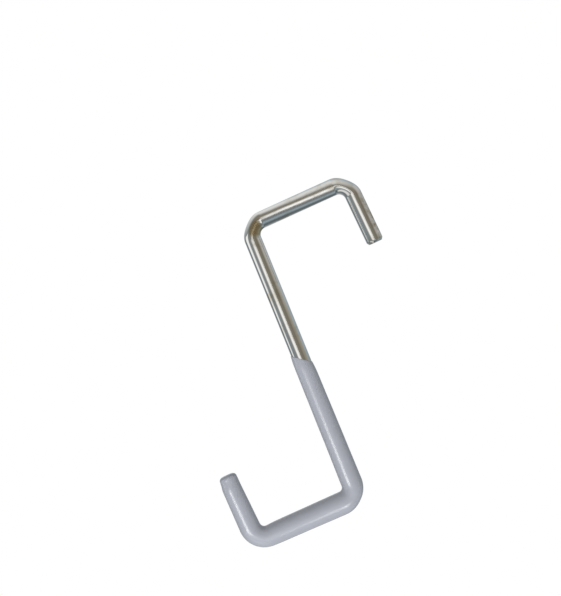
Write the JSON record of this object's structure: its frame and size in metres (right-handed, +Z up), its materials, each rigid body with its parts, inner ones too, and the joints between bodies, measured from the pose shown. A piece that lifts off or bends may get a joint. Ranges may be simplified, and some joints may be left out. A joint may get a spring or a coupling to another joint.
{
  "type": "rafter hook",
  "caption": "Square-bent steel rod hook that hangs over a rafter by its top bar and carries loads in a vinyl-coated lower hook.",
  "frame": {"origin": "middle of the top bar's underside, where the rafter's top edge bears", "axes": "+X along the top bar towards the free leg, +Y across the plane of the rod, +Z up as the hook hangs"},
  "size_m": [0.116, 0.0108, 0.1436],
  "materials": {
    "plated_steel": "bright plating over drawn steel wire, with faint lengthwise drawing lines",
    "grey_vinyl": "semi-gloss dipped vinyl, smooth and slightly soft"
  },
  "bodies": {
    "root": {"steel_rod": "plated_steel", "vinyl_coating": "grey_vinyl"}
  },
  "joints": []
}
